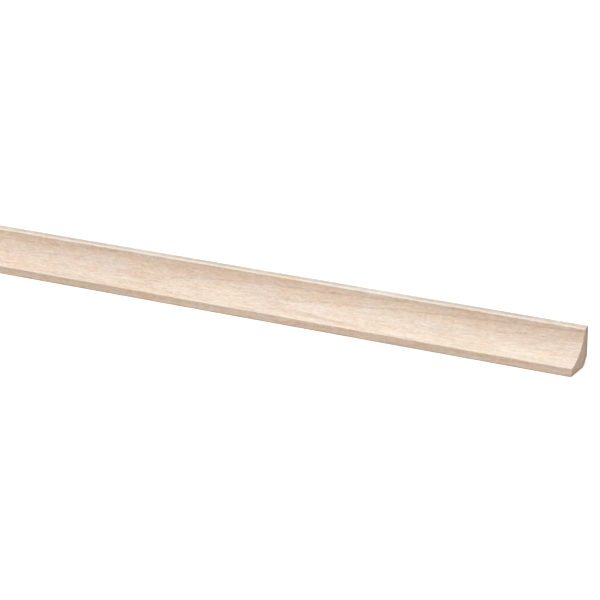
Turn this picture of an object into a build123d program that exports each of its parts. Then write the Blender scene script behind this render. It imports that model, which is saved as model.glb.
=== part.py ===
"""Cove cornice moulding: one length of pale hardwood, planed to a hollow section.

The stick lies on the leg that goes against the ceiling, with the other leg standing at the back.
+X runs along the stick, +Y points to the wall and +Z up. The origin is the middle of the footprint.
Every size is in millimetres, and angles are in degrees.
"""

import os
from math import cos, radians, sin, tan

from build123d import *

# Driving dimensions
STOCK_LENGTH = 2400.0  # as sold, sawn square at both ends
WALL_LEG = 28.0  # height of the standing leg, over its eased edge
CEILING_LEG = 28.0  # depth of the lying leg, over its eased edge
LIP_WIDTH = 5.4  # width of the lip at the end of each leg, measured square to the leg
LIP_BEVEL = 15.0  # slope of each lip down towards the hollow
COVE_DEPTH = 4.4  # depth of the hollow under a straightedge laid across the lips
BACK_CHAMFER = 6.4  # flat that keeps the hidden corner clear of a filled wall joint
EASED_ARRIS = 0.5  # radius that the long edges are sanded to

# Sizes that follow from them
bevel = radians(LIP_BEVEL)
lip_fall = LIP_WIDTH * tan(bevel)
sanded_off = EASED_ARRIS * ((1 + sin(bevel)) / cos(bevel) - 1)

# Corners of the section before the edges are eased, as depth towards the wall and height
back = CEILING_LEG / 2
front = -CEILING_LEG / 2 - sanded_off
top = WALL_LEG + sanded_off
wall_edge = (back, top)
upper_lip_arris = (back - LIP_WIDTH, top - lip_fall)
lower_lip_arris = (front + lip_fall, LIP_WIDTH)
ceiling_edge = (front, 0)
chamfer_foot = (back - BACK_CHAMFER, 0)
chamfer_head = (back, BACK_CHAMFER)

with BuildPart() as moulding:
    with BuildSketch(Plane.YZ.offset(-STOCK_LENGTH / 2)):
        with BuildLine():
            Line(wall_edge, upper_lip_arris)
            SagittaArc(upper_lip_arris, lower_lip_arris, COVE_DEPTH)
            Polyline(lower_lip_arris, ceiling_edge, chamfer_foot, chamfer_head, wall_edge)
        make_face()
    extrude(amount=STOCK_LENGTH)
    fillet(moulding.edges().filter_by(Axis.X), radius=EASED_ARRIS)

moulding.part.label = "cornice_moulding"

os.makedirs("parts", exist_ok=True)
export_step(moulding.part, "parts/cornice_moulding.step")
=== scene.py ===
from math import acos, cos, pi, radians, sin, sqrt, tan

import bmesh
import bpy
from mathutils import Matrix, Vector
from mathutils.kdtree import KDTree


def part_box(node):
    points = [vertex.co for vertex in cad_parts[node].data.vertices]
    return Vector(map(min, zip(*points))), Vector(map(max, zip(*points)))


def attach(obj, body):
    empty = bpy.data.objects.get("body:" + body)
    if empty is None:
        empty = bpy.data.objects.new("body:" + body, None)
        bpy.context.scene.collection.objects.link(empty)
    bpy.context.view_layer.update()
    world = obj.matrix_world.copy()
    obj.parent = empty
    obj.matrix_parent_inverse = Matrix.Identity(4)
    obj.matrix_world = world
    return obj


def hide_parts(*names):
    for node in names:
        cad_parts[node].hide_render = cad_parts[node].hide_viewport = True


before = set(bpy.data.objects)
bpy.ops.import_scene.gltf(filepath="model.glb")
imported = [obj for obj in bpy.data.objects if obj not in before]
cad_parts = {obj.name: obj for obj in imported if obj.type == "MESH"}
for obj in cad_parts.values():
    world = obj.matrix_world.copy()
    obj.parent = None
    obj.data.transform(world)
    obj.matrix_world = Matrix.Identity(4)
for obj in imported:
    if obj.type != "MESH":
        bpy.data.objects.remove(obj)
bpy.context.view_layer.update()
stick_low, stick_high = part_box("cornice_moulding")

# Sizes of the section, in metres
LIP_WIDTH = 0.0054
LIP_BEVEL = radians(15)
HOLLOW_DEPTH = 0.0044
BACK_CHAMFER = 0.0064
EASED_ARRIS = 0.0005

# Corners of the section while its arrises are still sharp, worked out from those sizes
SANDED_OFF = EASED_ARRIS * ((1 + sin(LIP_BEVEL)) / cos(LIP_BEVEL) - 1)
LIP_FALL = LIP_WIDTH * tan(LIP_BEVEL)
WALL_EDGE = Vector((0, stick_high.y, stick_high.z + SANDED_OFF))
UPPER_ARRIS = WALL_EDGE + Vector((0, -LIP_WIDTH, -LIP_FALL))
CEILING_EDGE = Vector((0, stick_low.y - SANDED_OFF, stick_low.z))
LOWER_ARRIS = CEILING_EDGE + Vector((0, LIP_FALL, LIP_WIDTH))
CHAMFER_HEAD = Vector((0, stick_high.y, stick_low.z + BACK_CHAMFER))
CHAMFER_FOOT = Vector((0, stick_high.y - BACK_CHAMFER, stick_low.z))

# How finely the stick is divided
HOLLOW_STEPS = 48
ARRIS_STEPS = 3
SPANS_ALONG = 48

# Places of the two finishes in the stick's list of materials
PLANED_SLOT = 0
SAWN_SLOT = 1

# Flat map of the stick's skin, in shares of the map
FLAT_MAP = "OFBake"
LENGTHS_CUT = 3
MAP_GAP = 0.006
END_WIDTH = 0.30
END_HEIGHT = 0.15

# Lie of the tree: the pith runs well in front of the hollow and draws away from it to the right
PITH_POINT = (1.0, -0.11283, 0.15247)
PITH_TURN = (0.0, -0.0155, -0.0122)
PITH_LINE = (0.0, 0.0, 0.0)  # in the tree's own axes

# Growth of the tree, in metres
RING_WIDTH = 0.0025
RING_WAVER = 0.0012
RING_RAGGEDNESS = 0.0009
FIRST_YEAR = 1187.0  # where the count of years starts, which sets the years that came out dark

# Where the slow changes of tone start along the stick
DRIFT_START = 17.30
CLOUD_START = 36.5

# What each part of the figure adds to the depth of tone on a planed face, over the plain wood
PLANED_DEPTH = 0.235
DRIFT_SHARE = 0.60
CLOUD_SHARE = 0.36
LATE_WOOD_SHARE = 0.46
YEAR_SHARE = 0.06
STREAK_SHARE = 0.145
HAIR_SHARE = 0.30
VESSEL_SHARE = 0.22
SPECK_SHARE = 0.45
WALL_EDGE_SHARE = 1.0
CEILING_EDGE_SHARE = 0.12
PLANED_ROUGHNESS = 0.50
PLANED_SHINE = 0.45

# What each part adds to the depth of tone on a sawn end
SAWN_DEPTH = 0.22
SAWN_LATE_WOOD_SHARE = 0.45
SAWN_STREAK_SHARE = 0.10
PORE_SHARE = 0.48
SCORE_SHARE = 0.30
SAWN_ROUGHNESS = 0.80
SAWN_SHINE = 0.15

# Colours of the wood, as linear light
PALE_WOOD = (0.872, 0.785, 0.700, 1.0)
DEEP_WOOD = (0.602, 0.437, 0.324, 1.0)
BLUSH = (1.0, 0.960, 0.950, 1.0)
HONEY = (1.0, 0.960, 0.900, 1.0)
SPECK = (0.300, 0.190, 0.120, 1.0)
EDGE_GREY = (0.715, 0.740, 0.765, 1.0)
PALE_END = (0.720, 0.590, 0.500, 1.0)
DEEP_END = (0.460, 0.345, 0.280, 1.0)
RIM_GREY = (0.362, 0.342, 0.316, 1.0)

# Grey lines along the edges and on the end's rim, and tool marks, in metres
EDGE_GREY_FULL = 0.0022
EDGE_GREY_REACH = 0.0045
RIM_REACH = 0.0068
BLADE_CENTRE = (0.0, 0.09, -0.07)  # the saw turned about a point below and behind the stick
SCORES_TO_A_METRE = 1900.0
RAISED_GRAIN = 0.00003
TORN_GRAIN = 0.00018

# Painted highlights along the hollow's two arrises, and painted shade just below each, in metres
MARK_CORE = 0.3  # the share of its reach over which a mark is at full strength
ARRIS_HIGHLIGHT_AND_SHADE = (
    # name, arris, way from it to the middle of the mark, reach, share of the depth of tone
    ("painted highlight on upper arris", UPPER_ARRIS, (0.0, 0.0006, 0.0002), 0.0011, -0.14),
    ("painted shade below upper arris", UPPER_ARRIS, (0.0, -0.0002, -0.0009), 0.0012, 0.08),
    ("painted highlight on lower arris", LOWER_ARRIS, (0.0, 0.0006, 0.0002), 0.0011, -0.12),
    ("painted shade below lower arris", LOWER_ARRIS, (0.0, -0.0003, -0.0011), 0.0018, 0.13),
)

# Floor and lamps, with the floor in metres, and directions and lamp widths in degrees
FLOOR_SIZE = 12.0
FLOOR_BOUNCE = (0.36, 0.23, 0.13, 1.0)
FLOOR_SEEN = (0.95, 0.95, 0.95, 1.0)
FLOOR_LIFT = (0.10, 0.10, 0.10, 1.0)
NO_LIFT = (0.0, 0.0, 0.0, 1.0)
SKY_LIGHT = 0.05
LAMPS = (
    # name, azimuth, elevation, strength, width, colour
    ("key lamp", 20, 71, 0.845, 50, (0.97, 1.0, 1.0)),
    ("side lamp", 82, 26, 0.375, 60, (1.0, 0.97, 0.96)),
    ("low lamp", 0, 10, 0.042, 50, (1.0, 0.5, 0.3)),
    ("back lamp", 200, 5, 0.90, 24, (1.0, 1.0, 1.0)),
)

# Camera, aimed some way in from the stick's right end, in metres, degrees and lens millimetres
AIM_FROM_END = 0.2132
AIM_HEIGHT = 0.01548
CAMERA_AZIMUTH = 28.623
CAMERA_ELEVATION = 18.80
CAMERA_DISTANCE = 1.61237
CAMERA_LENS = 135.9
CAMERA_SENSOR = 36.0


# Node helpers

def add_node(tree, kind, label, **settings):
    """A new node of one kind, named for what it does in its material."""
    made = tree.nodes.new(kind)
    made.name = label
    made.label = label
    for name, value in settings.items():
        setattr(made, name, value)
    return made


def feed(tree, socket, value):
    """Gives a socket a link from another socket, or a plain value."""
    if isinstance(value, bpy.types.NodeSocket):
        tree.links.new(value, socket)
    else:
        socket.default_value = value


def maths(tree, label, operation, *values):
    """The result of one Math node."""
    made = add_node(tree, "ShaderNodeMath", label, operation=operation)
    for socket, value in zip(made.inputs, values):
        feed(tree, socket, value)
    return made.outputs["Value"]


def vector_maths(tree, label, operation, *values):
    """The result of one Vector Math node: a number if it measures, otherwise a vector."""
    made = add_node(tree, "ShaderNodeVectorMath", label, operation=operation)
    for socket, value in zip(made.inputs, values):
        feed(tree, socket, value)
    measures = operation in ("LENGTH", "DISTANCE", "DOT_PRODUCT")
    return made.outputs["Value" if measures else "Vector"]


def ramp(tree, label, value, start, end, at_start=0.0, at_end=1.0):
    """A value carried smoothly from one range to another."""
    made = add_node(tree, "ShaderNodeMapRange", label, interpolation_type="SMOOTHSTEP")
    feed(tree, made.inputs["Value"], value)
    feed(tree, made.inputs["From Min"], start)
    feed(tree, made.inputs["From Max"], end)
    feed(tree, made.inputs["To Min"], at_start)
    feed(tree, made.inputs["To Max"], at_end)
    return made.outputs["Result"]


def noise(tree, label, place, along, across, detail=2.0, start=0.0):
    """Noise about zero, with so many waves to the metre along and across the grain."""
    stretched = vector_maths(
        tree, label + " place", "MULTIPLY_ADD", place, (along, across, across), (start, 0.0, 0.0)
    )
    made = add_node(tree, "ShaderNodeTexNoise", label)
    feed(tree, made.inputs["Vector"], stretched)
    feed(tree, made.inputs["Scale"], 1.0)
    feed(tree, made.inputs["Detail"], detail)
    return maths(tree, label + " about zero", "SUBTRACT", made.outputs["Fac"], 0.5)


def cells(tree, label, place, along, across):
    """Cells drawn out along the grain: the distance from each cell's point, and a chance colour."""
    made = add_node(tree, "ShaderNodeTexVoronoi", label, feature="F1")
    feed(tree, made.inputs["Vector"],
         vector_maths(tree, label + " place", "MULTIPLY", place, (along, across, across)))
    feed(tree, made.inputs["Scale"], 1.0)
    return made.outputs["Distance"], made.outputs["Color"]


def added(tree, label, base, *parts):
    """A base value, with a share of each part added to it."""
    total = base
    for part, share in parts:
        total = maths(tree, label, "MULTIPLY_ADD", part, share, total)
    return total


def tint(tree, label, amount, under, over, blend_type="MIX"):
    """One colour laid over another by an amount."""
    made = add_node(tree, "ShaderNodeMix", label, data_type="RGBA", blend_type=blend_type)
    feed(tree, made.inputs[0], amount)
    feed(tree, made.inputs[6], under)
    feed(tree, made.inputs[7], over)
    return made.outputs[2]


def relief(tree, shader, label, height, distance, strength):
    """Gives a shader a fine relief."""
    made = add_node(tree, "ShaderNodeBump", label)
    feed(tree, made.inputs["Height"], height)
    feed(tree, made.inputs["Distance"], distance)
    feed(tree, made.inputs["Strength"], strength)
    feed(tree, shader.inputs["Normal"], made.outputs["Normal"])


def new_material(name):
    """A new material, its node tree and its shader."""
    material = bpy.data.materials.new(name)
    material.use_nodes = True
    return material, material.node_tree, material.node_tree.nodes["Principled BSDF"]


def new_group(name, inputs, outputs):
    """A shader node group with named sockets, and the sockets inside it that those lead to and from."""
    group = bpy.data.node_groups.new(name, "ShaderNodeTree")
    for label, kind in inputs:
        group.interface.new_socket(label, in_out="INPUT", socket_type=kind)
    for label, kind in outputs:
        group.interface.new_socket(label, in_out="OUTPUT", socket_type=kind)
    given = group.nodes.new("NodeGroupInput").outputs
    result = group.nodes.new("NodeGroupOutput").inputs
    return group, given, result


def use_group(tree, group, values):
    """A group placed in a material, with a value for each of its inputs."""
    made = add_node(tree, "ShaderNodeGroup", group.name, node_tree=group)
    for label, value in values.items():
        feed(tree, made.inputs[label], value)
    return made.outputs


# Places on the stick

def stick_place(tree):
    """A point's place on the stick."""
    return add_node(tree, "ShaderNodeTexCoord", "place on the stick").outputs["Object"]


def grain_place(tree, place):
    """A place on the stick in the tree's own axes: X up the trunk, with the pith at Y and Z zero."""
    turned = add_node(tree, "ShaderNodeMapping", "lie of the pith", vector_type="TEXTURE")
    feed(tree, turned.inputs["Vector"], place)
    feed(tree, turned.inputs["Location"], PITH_POINT)
    feed(tree, turned.inputs["Rotation"], PITH_TURN)
    return turned.outputs["Vector"]


def from_line(tree, label, place, line):
    """How far a place lies from a line along X, given as a point at X zero."""
    across = vector_maths(tree, label + ", across", "MULTIPLY", place, (0.0, 1.0, 1.0))
    return vector_maths(tree, label, "DISTANCE", across, line)


def behind_face(tree, label, place, face_point, inward):
    """How far in from a flat face of the stick a place lies, times the length of the inward vector."""
    from_point = vector_maths(tree, label + ", from a point on it", "SUBTRACT", place, face_point)
    return vector_maths(tree, label, "DOT_PRODUCT", from_point, inward)


# The wood's figure

def growth_rings_group():
    """Yearly rings round the pith. Each year darkens slowly into its late wood and ends sharply."""
    group, given, result = new_group(
        "growth rings",
        [("Grain", "NodeSocketVector"), ("Ring width", "NodeSocketFloat")],
        [("Late wood", "NodeSocketFloat"), ("Year tone", "NodeSocketFloat")],
    )
    grain = given["Grain"]

    # The trunk was never quite round, and each year's edge is a little ragged
    reach = added(
        group, "wavering reach", from_line(group, "reach from the pith", grain, PITH_LINE),
        (noise(group, "slow waver", grain, along=7.0, across=60.0, detail=1.5), RING_WAVER),
        (noise(group, "ragged edge", grain, along=70.0, across=700.0), RING_RAGGEDNESS),
    )
    years = maths(group, "years", "DIVIDE", reach, given["Ring width"])
    season = maths(group, "season", "FRACT", years)
    summer = maths(group, "summer growth", "POWER", season, 4.0)
    winter = ramp(group, "winter rest", season, 0.96, 1.0, at_start=1.0, at_end=0.0)
    late = maths(group, "late wood", "MULTIPLY", summer, winter)

    # Late wood is weaker in patches, and in some years
    patches = noise(group, "patches", grain, along=34.0, across=230.0)
    patchy = ramp(group, "patchy growth", patches, -0.14, 0.12, at_start=0.35, at_end=1.0)
    late = maths(group, "patchy late wood", "MULTIPLY", late, patchy)
    chance = add_node(group, "ShaderNodeTexWhiteNoise", "chance of a year", noise_dimensions="1D")
    year = maths(group, "year", "FLOOR", years)
    feed(group, chance.inputs["W"], maths(group, "counted year", "ADD", year, FIRST_YEAR))
    strength = maths(group, "strength of a year", "MULTIPLY_ADD", chance.outputs["Value"], 0.6, 0.4)
    late = maths(group, "late wood of a year", "MULTIPLY", late, strength)
    tone = maths(group, "tone of a year", "SUBTRACT", chance.outputs["Value"], 0.5)
    feed(group, result["Late wood"], late)
    feed(group, result["Year tone"], tone)
    return group


def fibres_group():
    """Streaks of fibres, the fine hairs and open vessels among them, and small dark specks."""
    group, given, result = new_group(
        "fibres",
        [("Grain", "NodeSocketVector")],
        [(label, "NodeSocketFloat") for label in ("Streaks", "Hairs", "Vessels", "Specks")],
    )
    grain = given["Grain"]
    streaks = added(
        group, "streaks", 0.0,
        (noise(group, "broad fibres", grain, along=9.0, across=240.0, detail=1.5), 2.6),
        (noise(group, "fine fibres", grain, along=95.0, across=560.0, detail=1.0), 4.2),
        (noise(group, "short dashes", grain, along=260.0, across=1050.0, detail=1.0), 5.0),
        (noise(group, "flecks", grain, along=480.0, across=900.0, detail=1.0), 4.0),
    )
    feed(group, result["Streaks"], streaks)
    feed(group, result["Hairs"], noise(group, "hairs", grain, along=110.0, across=2600.0, detail=1.0))

    # Vessels gather in bands
    from_vessel, _ = cells(group, "vessel cells", grain, along=95.0, across=1500.0)
    vessel = ramp(group, "vessel", from_vessel, 0.10, 0.32, at_start=1.0, at_end=0.0)
    bands = noise(group, "bands of vessels", grain, along=16.0, across=420.0)
    gathered = ramp(group, "vessels gather", bands, -0.06, 0.14)
    feed(group, result["Vessels"], maths(group, "open vessels", "MULTIPLY", vessel, gathered))

    # Few of the cells hold a speck
    from_speck, chances = cells(group, "speck cells", grain, along=55.0, across=125.0)
    chance = add_node(group, "ShaderNodeSeparateColor", "speck chance")
    feed(group, chance.inputs["Color"], chances)
    few = maths(group, "few specks", "GREATER_THAN", chance.outputs["Red"], 0.72)
    speck = ramp(group, "speck", from_speck, 0.015, 0.055, at_start=1.0, at_end=0.0)
    feed(group, result["Specks"], maths(group, "specks", "MULTIPLY", speck, few))
    return group


# Finishes of the wood

def grey_edge(tree, place, edge):
    """How grey one long edge is made: 1 on the edge, and 0 a little way in, unevenly along it."""
    gap = from_line(tree, "gap to the edge", place, edge)
    near = ramp(tree, "near the edge", gap, EDGE_GREY_FULL, EDGE_GREY_REACH, at_start=1.0, at_end=0.0)
    handling = noise(tree, "handling", place, along=24.0, across=300.0)
    uneven = ramp(tree, "uneven handling", handling, -0.15, 0.15, at_start=0.6, at_end=1.0)
    return maths(tree, "grey edge", "MULTIPLY", near, uneven)


def planed_wood(rings, fibres):
    """Bare wood planed and sanded along the grain, on every long face."""
    material, tree, shader = new_material("planed wood")
    place = stick_place(tree)
    grain = grain_place(tree, place)
    ring = use_group(tree, rings, {"Grain": grain, "Ring width": RING_WIDTH})
    fibre = use_group(tree, fibres, {"Grain": grain})

    # Depth of tone, from the palest wood at 0 to the deepest at 1
    drift = noise(tree, "drift", grain, along=2.6, across=4.0, detail=1.0, start=DRIFT_START)
    cloud = noise(tree, "cloud", grain, along=7.0, across=55.0, start=CLOUD_START)
    depth = added(
        tree, "depth of tone", PLANED_DEPTH,
        (drift, DRIFT_SHARE),
        (cloud, CLOUD_SHARE),
        (ring["Late wood"], LATE_WOOD_SHARE),
        (ring["Year tone"], YEAR_SHARE),
        (fibre["Streaks"], STREAK_SHARE),
        (fibre["Hairs"], HAIR_SHARE),
        (fibre["Vessels"], VESSEL_SHARE),
    )

    # Painted shade below the arrises adds to that depth, and painted highlights on them take from it
    for name, arris, way, reach, share in ARRIS_HIGHLIGHT_AND_SHADE:
        gap = from_line(tree, name + " gap", place, arris + Vector(way))
        mark = ramp(tree, name, gap, MARK_CORE * reach, reach, at_start=share, at_end=0.0)
        depth = maths(tree, name + " depth", "ADD", depth, mark)

    # Colour, with pinker and warmer patches and a few specks
    colour = tint(tree, "wood colour", depth, PALE_WOOD, DEEP_WOOD)
    blush = noise(tree, "blush", grain, along=11.0, across=90.0)
    blush = ramp(tree, "blush reach", blush, -0.15, 0.15, at_end=0.8)
    colour = tint(tree, "blush colour", blush, colour, BLUSH, blend_type="MULTIPLY")
    honey = noise(tree, "honey", grain, along=30.0, across=140.0)
    honey = ramp(tree, "honey reach", honey, -0.15, 0.15)
    colour = tint(tree, "honey colour", honey, colour, HONEY, blend_type="MULTIPLY")
    speck = maths(tree, "speck share", "MULTIPLY", fibre["Specks"], SPECK_SHARE)
    colour = tint(tree, "speck colour", speck, colour, SPECK)

    # The wall edge is made greyer than the ceiling edge
    grey_edges = added(
        tree, "grey edges", 0.0,
        (grey_edge(tree, place, WALL_EDGE), WALL_EDGE_SHARE),
        (grey_edge(tree, place, CEILING_EDGE), CEILING_EDGE_SHARE),
    )
    colour = tint(tree, "grey edge colour", grey_edges, colour, EDGE_GREY, blend_type="MULTIPLY")
    feed(tree, shader.inputs["Base Color"], colour)

    roughness = added(
        tree, "roughness", PLANED_ROUGHNESS,
        (fibre["Hairs"], 0.15), (fibre["Vessels"], 0.14), (ring["Late wood"], -0.06),
    )
    feed(tree, shader.inputs["Roughness"], roughness)
    height = added(
        tree, "height of the grain", 0.0,
        (fibre["Streaks"], 0.5), (fibre["Hairs"], 3.0), (fibre["Vessels"], -1.5),
    )
    relief(tree, shader, "raised grain", height, RAISED_GRAIN, strength=0.35)
    feed(tree, shader.inputs["Specular IOR Level"], PLANED_SHINE)
    return material


def grey_rim(tree, place):
    """How grey an end is made towards its back rim, half as far in from the ceiling face."""
    slant = sqrt(0.5)
    back_faces = (
        # name, a point on the face, the way in from it
        ("wall face", WALL_EDGE, (0.0, -1.0, 0.0)),
        ("ceiling face", CEILING_EDGE, (0.0, 0.0, 2.0)),
        ("chamfer", CHAMFER_HEAD, (0.0, -slant, slant)),
    )
    nearest = RIM_REACH
    for name, point, inward in back_faces:
        depth = behind_face(tree, "behind the " + name, place, point, inward)
        nearest = maths(tree, "nearest as far as the " + name, "MINIMUM", nearest, depth)
    return ramp(tree, "grey rim", nearest, 0.0, RIM_REACH, at_start=0.8, at_end=0.0)


def sawn_end(rings, fibres):
    """End grain, deeper in tone than the planed faces, with pores and the arcs that the saw left."""
    material, tree, shader = new_material("sawn end grain")
    place = stick_place(tree)
    grain = grain_place(tree, place)
    ring = use_group(tree, rings, {"Grain": grain, "Ring width": RING_WIDTH})
    fibre = use_group(tree, fibres, {"Grain": grain})

    scores = add_node(tree, "ShaderNodeTexNoise", "saw scores", noise_dimensions="1D")
    feed(tree, scores.inputs["W"], from_line(tree, "sweep of the blade", place, BLADE_CENTRE))
    feed(tree, scores.inputs["Scale"], SCORES_TO_A_METRE)
    score = maths(tree, "score", "SUBTRACT", scores.outputs["Fac"], 0.5)

    depth = added(
        tree, "depth of tone", SAWN_DEPTH,
        (ring["Late wood"], SAWN_LATE_WOOD_SHARE),
        (fibre["Streaks"], SAWN_STREAK_SHARE),
        (fibre["Hairs"], PORE_SHARE),
        (score, SCORE_SHARE),
    )
    colour = tint(tree, "end colour", depth, PALE_END, DEEP_END)
    colour = tint(tree, "rim colour", grey_rim(tree, place), colour, RIM_GREY)
    feed(tree, shader.inputs["Base Color"], colour)

    feed(tree, shader.inputs["Roughness"], added(tree, "roughness", SAWN_ROUGHNESS, (score, 0.18)))
    height = maths(tree, "height of the torn grain", "ADD", score, fibre["Hairs"])
    relief(tree, shader, "torn grain", height, TORN_GRAIN, strength=0.5)
    feed(tree, shader.inputs["Specular IOR Level"], SAWN_SHINE)
    return material


# The stick

def in_section(vert):
    """A vertex's place in the section, whatever its place along the stick."""
    return Vector((0, vert.co.y, vert.co.z))


def is_long(edge):
    """Whether an edge runs along the stick."""
    start, end = (vert.co for vert in edge.verts)
    return abs(end.x - start.x) > 0.5 * (end - start).length


def section_face(shape):
    """The section at the stick's left end, its arrises still sharp."""
    left = Vector((stick_low.x, 0, 0))
    wall_edge = shape.verts.new(left + WALL_EDGE)
    upper_arris = shape.verts.new(left + UPPER_ARRIS)
    ceiling_edge = shape.verts.new(left + CEILING_EDGE)
    chamfer_foot = shape.verts.new(left + CHAMFER_FOOT)
    chamfer_head = shape.verts.new(left + CHAMFER_HEAD)

    # The hollow is one arc, spun from lip to lip
    chord = LOWER_ARRIS - UPPER_ARRIS
    radius = ((chord.length / 2) ** 2 + HOLLOW_DEPTH ** 2) / (2 * HOLLOW_DEPTH)
    half_angle = acos((radius - HOLLOW_DEPTH) / radius)
    outward = Vector((0, chord.z, -chord.y)).normalized()
    centre = left + (UPPER_ARRIS + LOWER_ARRIS) / 2 + outward * (radius - HOLLOW_DEPTH)
    spun = bmesh.ops.spin(
        shape, geom=[upper_arris], cent=centre, axis=(1, 0, 0),
        angle=-2 * half_angle, steps=HOLLOW_STEPS,
    )
    lower_arris = next(item for item in spun["geom_last"] if isinstance(item, bmesh.types.BMVert))

    corners = (lower_arris, ceiling_edge, chamfer_foot, chamfer_head, wall_edge, upper_arris)
    for start, end in zip(corners, corners[1:]):
        shape.edges.new((start, end))
    bmesh.ops.contextual_create(shape, geom=shape.edges[:])


def ease_arris(shape, corner):
    """Rounds the long edge at a corner of the section, to one radius whatever its angle."""
    long_edges = [edge for edge in shape.edges if is_long(edge)]
    arris = min(long_edges, key=lambda edge: (in_section(edge.verts[0]) - corner).length)
    offset = EASED_ARRIS * tan(arris.calc_face_angle() / 2)
    bmesh.ops.bevel(
        shape, geom=[arris], offset=offset, offset_type="OFFSET", affect="EDGES",
        segments=ARRIS_STEPS, profile=0.5, material=-1,
    )


def lay_flat(shape):
    """Gives the skin a flat map: the long faces in lengths, one above another, then the two ends."""
    flat = shape.loops.layers.uv.new(FLAT_MAP)
    size = stick_high - stick_low
    ends = [face for face in shape.faces if face.material_index == SAWN_SLOT]
    sides = [face for face in shape.faces if face.material_index == PLANED_SLOT]

    # The way round the section starts at the head of the chamfer, so that the seam is out of sight
    rim = list(ends[0].loops)
    gaps = [(in_section(loop.vert) - CHAMFER_HEAD).length for loop in rim]
    first = gaps.index(min(gaps))
    places = KDTree(len(rim))
    walked = [0.0]
    for number, loop in enumerate(rim[first:] + rim[:first]):
        places.insert(in_section(loop.vert), number)
        walked.append(walked[-1] + loop.edge.calc_length())
    places.balance()
    girth = walked[-1]

    strip_height = (1 - END_HEIGHT - (LENGTHS_CUT + 2) * MAP_GAP) / LENGTHS_CUT
    for face in sides:
        cut = int((face.calc_center_median().x - stick_low.x) / size.x * LENGTHS_CUT)
        ways = [walked[places.find(in_section(loop.vert))[1]] for loop in face.loops]
        at_seam = max(ways) - min(ways) > girth / 2
        for loop, way in zip(face.loops, ways):
            share_round = 1 if at_seam and way == 0 else way / girth
            share_along = (loop.vert.co.x - stick_low.x) / size.x * LENGTHS_CUT - cut
            loop[flat].uv = (
                MAP_GAP + share_along * (1 - 2 * MAP_GAP),
                MAP_GAP + cut * (strip_height + MAP_GAP) + share_round * strip_height,
            )
    for number, face in enumerate(ends):
        for loop in face.loops:
            place = loop.vert.co - stick_low
            loop[flat].uv = (
                MAP_GAP + number * (END_WIDTH + MAP_GAP) + place.y / size.y * END_WIDTH,
                1 - MAP_GAP - END_HEIGHT + place.z / size.z * END_HEIGHT,
            )


def moulding_piece(wood, end_grain):
    """The whole stick: its section drawn out to length, its arrises eased, its ends left as sawn."""
    shape = bmesh.new()
    section_face(shape)
    drawn = bmesh.ops.extrude_face_region(shape, geom=shape.faces[:])["geom"]
    moved = [item for item in drawn if isinstance(item, bmesh.types.BMVert)]
    bmesh.ops.translate(shape, verts=moved, vec=(stick_high.x - stick_low.x, 0, 0))
    bmesh.ops.recalc_face_normals(shape, faces=shape.faces[:])
    for corner in (LOWER_ARRIS, CEILING_EDGE, CHAMFER_FOOT, CHAMFER_HEAD, WALL_EDGE, UPPER_ARRIS):
        ease_arris(shape, corner)
    long_edges = [edge for edge in shape.edges if is_long(edge)]
    bmesh.ops.subdivide_edges(shape, edges=long_edges, cuts=SPANS_ALONG - 1, use_grid_fill=True)

    for face in shape.faces:
        at_end = abs(face.normal.x) > 0.5
        face.material_index = SAWN_SLOT if at_end else PLANED_SLOT
        face.smooth = not at_end
    for edge in shape.edges:
        edge.smooth = len({face.material_index for face in edge.link_faces}) == 1
    lay_flat(shape)

    mesh = bpy.data.meshes.new("cornice_moulding_wood")
    shape.to_mesh(mesh)
    shape.free()
    mesh.materials.append(wood)
    mesh.materials.append(end_grain)
    piece = bpy.data.objects.new("cornice_moulding_wood", mesh)
    bpy.context.scene.collection.objects.link(piece)
    even = piece.modifiers.new("even shading", "WEIGHTED_NORMAL")
    even.keep_sharp = True
    even.weight = 100
    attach(piece, "root")
    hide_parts("cornice_moulding")


# Floor, light and camera

def seen_directly(tree):
    """1 for what the camera sees, mirrored or through glass too, and 0 for what lights the stick."""
    path = add_node(tree, "ShaderNodeLightPath", "who looks").outputs
    seen = maths(tree, "seen or mirrored", "MAXIMUM", path["Is Camera Ray"], path["Is Glossy Ray"])
    return maths(tree, "seen at all", "MAXIMUM", seen, path["Is Transmission Ray"])


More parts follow.
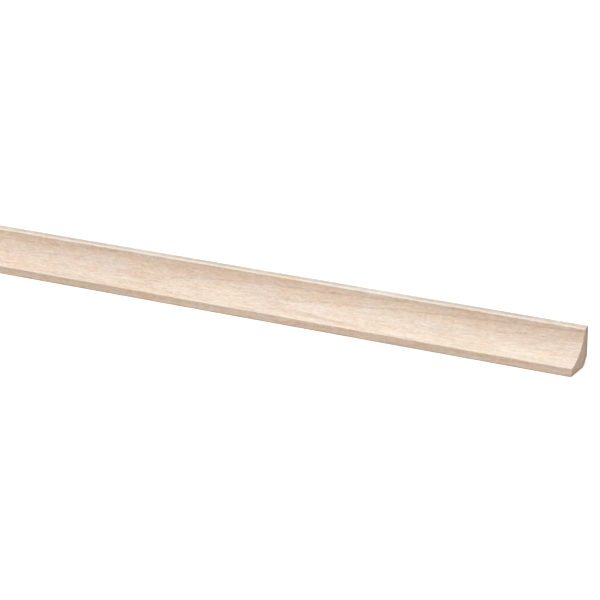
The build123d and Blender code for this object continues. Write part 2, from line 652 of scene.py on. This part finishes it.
def pale_floor():
    """A plain pale floor that shows white and keeps the stick's shadow."""
    shape = bmesh.new()
    bmesh.ops.create_grid(shape, x_segments=1, y_segments=1, size=FLOOR_SIZE)
    mesh = bpy.data.meshes.new("floor")
    shape.to_mesh(mesh)
    shape.free()
    material, tree, shader = new_material("pale floor")
    seen = seen_directly(tree)
    feed(tree, shader.inputs["Base Color"], tint(tree, "floor colour", seen, FLOOR_BOUNCE, FLOOR_SEEN))
    feed(tree, shader.inputs["Emission Color"], tint(tree, "floor lift", seen, NO_LIFT, FLOOR_LIFT))
    feed(tree, shader.inputs["Emission Strength"], 1.0)
    feed(tree, shader.inputs["Roughness"], 1.0)
    feed(tree, shader.inputs["Specular IOR Level"], 0.0)
    mesh.materials.append(material)
    floor = bpy.data.objects.new("floor", mesh)
    bpy.context.scene.collection.objects.link(floor)


def even_sky():
    """A little even light from all round, and a white backdrop where the camera sees past the floor."""
    world = bpy.data.worlds.new("studio")
    world.use_nodes = True
    tree = world.node_tree
    sky = tree.nodes["Background"]
    feed(tree, sky.inputs["Color"], (1.0, 1.0, 1.0, 1.0))
    strength = ramp(tree, "sky strength", seen_directly(tree), 0.0, 1.0, at_start=SKY_LIGHT, at_end=1.0)
    feed(tree, sky.inputs["Strength"], strength)
    bpy.context.scene.world = world


def towards(azimuth, elevation):
    """A direction, with azimuth 0 straight in front of the hollow and growing to the right."""
    turn = radians(azimuth)
    rise = radians(elevation)
    return Vector((sin(turn) * cos(rise), -cos(turn) * cos(rise), sin(rise)))


def soft_lamp(name, azimuth, elevation, strength, width, colour):
    """A wide soft lamp far away, so that it lights the whole stick alike."""
    lamp = bpy.data.lights.new(name, "SUN")
    lamp.energy = strength * pi
    lamp.color = colour
    lamp.angle = radians(width)
    lit = bpy.data.objects.new(name, lamp)
    lit.rotation_euler = towards(azimuth, elevation).to_track_quat("Z", "Y").to_euler()
    bpy.context.scene.collection.objects.link(lit)


def photo_camera():
    """The camera at the photo's own viewpoint."""
    camera = bpy.data.cameras.new("camera")
    camera.sensor_width = CAMERA_SENSOR
    camera.lens = CAMERA_LENS
    aim = Vector((stick_high.x - AIM_FROM_END, 0, AIM_HEIGHT))
    backward = towards(CAMERA_AZIMUTH, CAMERA_ELEVATION)
    stand = bpy.data.objects.new("camera", camera)
    stand.location = aim + backward * CAMERA_DISTANCE
    stand.rotation_euler = backward.to_track_quat("Z", "Y").to_euler()
    bpy.context.scene.collection.objects.link(stand)
    bpy.context.scene.camera = stand


rings = growth_rings_group()
fibres = fibres_group()
moulding_piece(planed_wood(rings, fibres), sawn_end(rings, fibres))
pale_floor()
even_sky()
for lamp in LAMPS:
    soft_lamp(*lamp)
photo_camera()
bpy.context.scene.view_settings.view_transform = "Standard"
